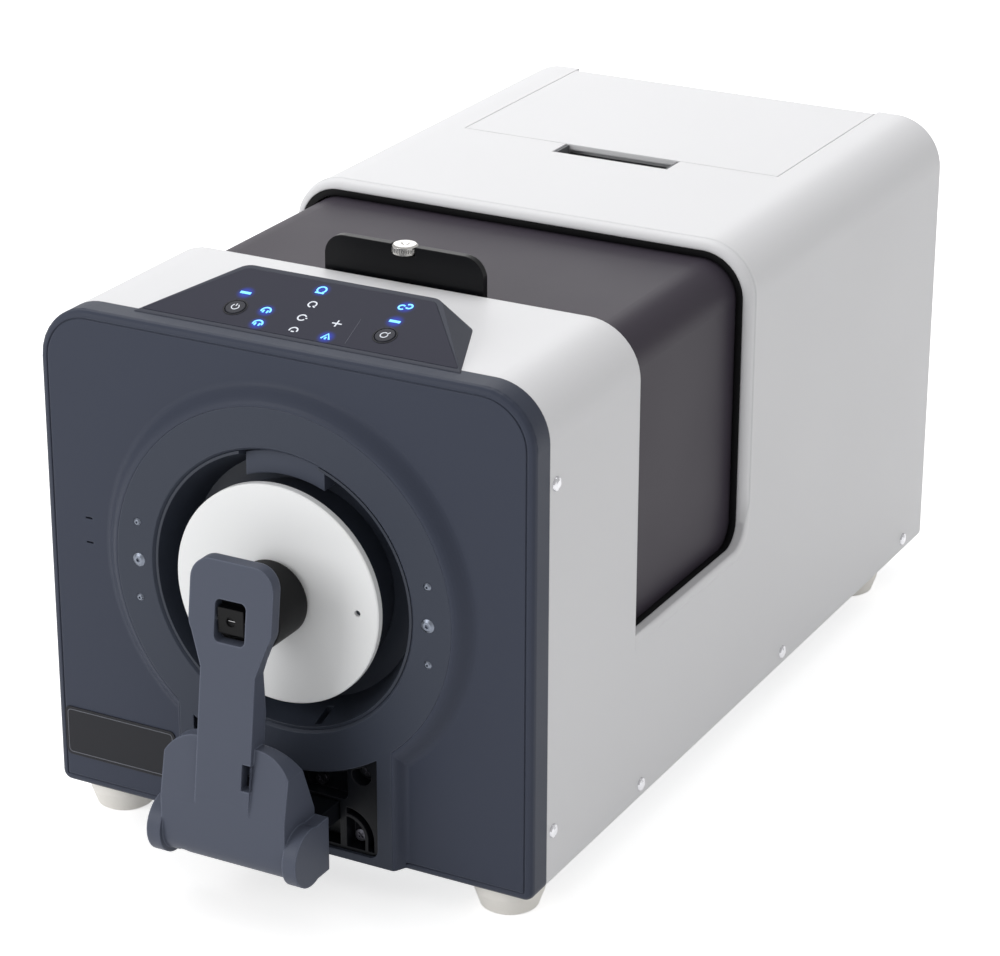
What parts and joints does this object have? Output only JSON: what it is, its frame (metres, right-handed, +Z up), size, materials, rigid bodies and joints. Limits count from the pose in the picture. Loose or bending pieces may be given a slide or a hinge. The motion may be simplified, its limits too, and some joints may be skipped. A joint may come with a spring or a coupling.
{
  "type": "benchtop colorimeter",
  "caption": "Boxy benchtop colorimeter with a front measuring port, sprung specimen arm, tilted console and a sliding chamber cover.",
  "frame": {"origin": "centre of the bounding box on the bench surface", "axes": "+Z up, the measuring port faces -Y, +X to the right seen from the front"},
  "size_m": [0.2742, 0.566, 0.2925],
  "materials": {
    "outer_cover": "white painted moulding, satin",
    "front_fascia": "blue-grey fine grain",
    "base_plate": "grey powder coat",
    "rear_panel": "light grey paint",
    "port_plate": "blue-grey fine grain",
    "mask_well": "dark grey",
    "mask_seat": "dark grey",
    "target_mask": "satin white metal",
    "mask_latch": "black",
    "ring_screws": "bright",
    "bay_tray": "black",
    "bay_screws": "black zinc",
    "hinge_bracket": "dark paint",
    "hinge_pin": "ground",
    "holder_arm": "dark grey fine texture",
    "pad_pivot_pin": "ground",
    "specimen_pad": "black",
    "name_plate": "black, bare",
    "control_console": "blue-grey",
    "console_panel": "dark blue film",
    "status_lights": "blue light windows",
    "power_button": "dark key",
    "measure_button": "dark key",
    "chamber_front_wall": "black paint",
    "chamber_rear_wall": "black paint",
    "chamber_floor": "black paint",
    "chassis_sides": "grey zinc",
    "chamber_cover": "dark textured paint",
    "transmission_port": "black anodised",
    "receiving_lens": "clear",
    "specimen_plate": "black semi-gloss",
    "plate_screw": "knurled nickel",
    "storage_lid": "white painted moulding, satin",
    "lid_hinge_pin": "ground",
    "storage_tray": "grey",
    "finger_cup": "dark grey",
    "feet": "off-white",
    "foot_screws": "zinc plated",
    "side_screws": "dome head",
    "sphere_front_half": "white inside coating",
    "sphere_rear_half": "white inside coating",
    "lamp_housing": "sheet",
    "polychromator_box": "sheet",
    "main_board": "circuit board",
    "power_supply": "sheet",
    "power_inlet": "black",
    "data_socket": "plated shell",
    "switch_frame": "black",
    "power_switch": "black"
  },
  "bodies": {
    "instrument": {"outer_cover": "outer_cover", "front_fascia": "front_fascia", "base_plate": "base_plate", "rear_panel": "rear_panel", "port_plate": "port_plate", "mask_well": "mask_well", "mask_seat": "mask_seat", "target_mask": "target_mask", "ring_screws": "ring_screws", "bay_tray": "bay_tray", "bay_screws": "bay_screws", "hinge_bracket": "hinge_bracket", "name_plate": "name_plate", "control_console": "control_console", "console_panel": "console_panel", "status_lights": "status_lights", "chamber_front_wall": "chamber_front_wall", "chamber_rear_wall": "chamber_rear_wall", "chamber_floor": "chamber_floor", "chassis_sides": "chassis_sides", "transmission_port": "transmission_port", "receiving_lens": "receiving_lens", "specimen_plate": "specimen_plate", "lid_hinge_pin": "lid_hinge_pin", "storage_tray": "storage_tray", "finger_cup": "finger_cup", "feet": "feet", "foot_screws": "foot_screws", "side_screws": "side_screws", "sphere_front_half": "sphere_front_half", "sphere_rear_half": "sphere_rear_half", "lamp_housing": "lamp_housing", "polychromator_box": "polychromator_box", "main_board": "main_board", "power_supply": "power_supply", "power_inlet": "power_inlet", "data_socket": "data_socket", "switch_frame": "switch_frame"},
    "holder_arm": {"holder_arm": "holder_arm", "hinge_pin": "hinge_pin", "pad_pivot_pin": "pad_pivot_pin"},
    "specimen_pad": {"specimen_pad": "specimen_pad"},
    "mask_latch": {"mask_latch": "mask_latch"},
    "chamber_cover": {"chamber_cover": "chamber_cover"},
    "storage_lid": {"storage_lid": "storage_lid"},
    "plate_screw": {"plate_screw": "plate_screw"},
    "power_button": {"power_button": "power_button"},
    "measure_button": {"measure_button": "measure_button"},
    "power_switch": {"power_switch": "power_switch"}
  },
  "joints": [
    {"name": "holder_arm_hinge", "type": "hinge", "parent": "instrument", "child": "holder_arm", "pos_m": [0.003, -0.268, 0.042], "axis": [1, 0, 0], "range_deg": [0, 85], "stiffness_Nm_per_rad": 0.35, "springref_deg": -57.3},
    {"name": "pad_tilt", "type": "hinge", "parent": "holder_arm", "child": "specimen_pad", "pos_m": [0.003, -0.26537, 0.155], "axis": [1, 0, 0], "range_deg": [-2.5, 2.5], "stiffness_Nm_per_rad": 0.5},
    {"name": "mask_latch_slide", "type": "slide", "parent": "instrument", "child": "mask_latch", "axis": [0, 0, 1], "range_m": [0, 0.002], "stiffness_N_per_m": 250, "springref_m": -0.001},
    {"name": "chamber_cover_slide", "type": "slide", "parent": "instrument", "child": "chamber_cover", "axis": [0, 1, 0], "range_m": [0, 0.09]},
    {"name": "storage_lid_hinge", "type": "hinge", "parent": "instrument", "child": "storage_lid", "pos_m": [0, 0.2778, 0.2708], "axis": [-1, 0, 0], "range_deg": [0, 100]},
    {"name": "plate_screw_turn", "type": "hinge", "parent": "instrument", "child": "plate_screw", "pos_m": [0.004, -0.1035, 0.285], "axis": [0, 0, 1], "continuous": true},
    {"name": "power_button_press", "type": "slide", "parent": "instrument", "child": "power_button", "axis": [0, 0.3173, -0.9483], "range_m": [0, 0.0008], "stiffness_N_per_m": 400, "springref_m": -0.0005},
    {"name": "measure_button_press", "type": "slide", "parent": "instrument", "child": "measure_button", "axis": [0, 0.3173, -0.9483], "range_m": [0, 0.0008], "stiffness_N_per_m": 400, "springref_m": -0.0005},
    {"name": "power_switch_rock", "type": "hinge", "parent": "instrument", "child": "power_switch", "pos_m": [-0.034, 0.2735, 0.06], "axis": [1, 0, 0], "range_deg": [-6, 6]}
  ]
}
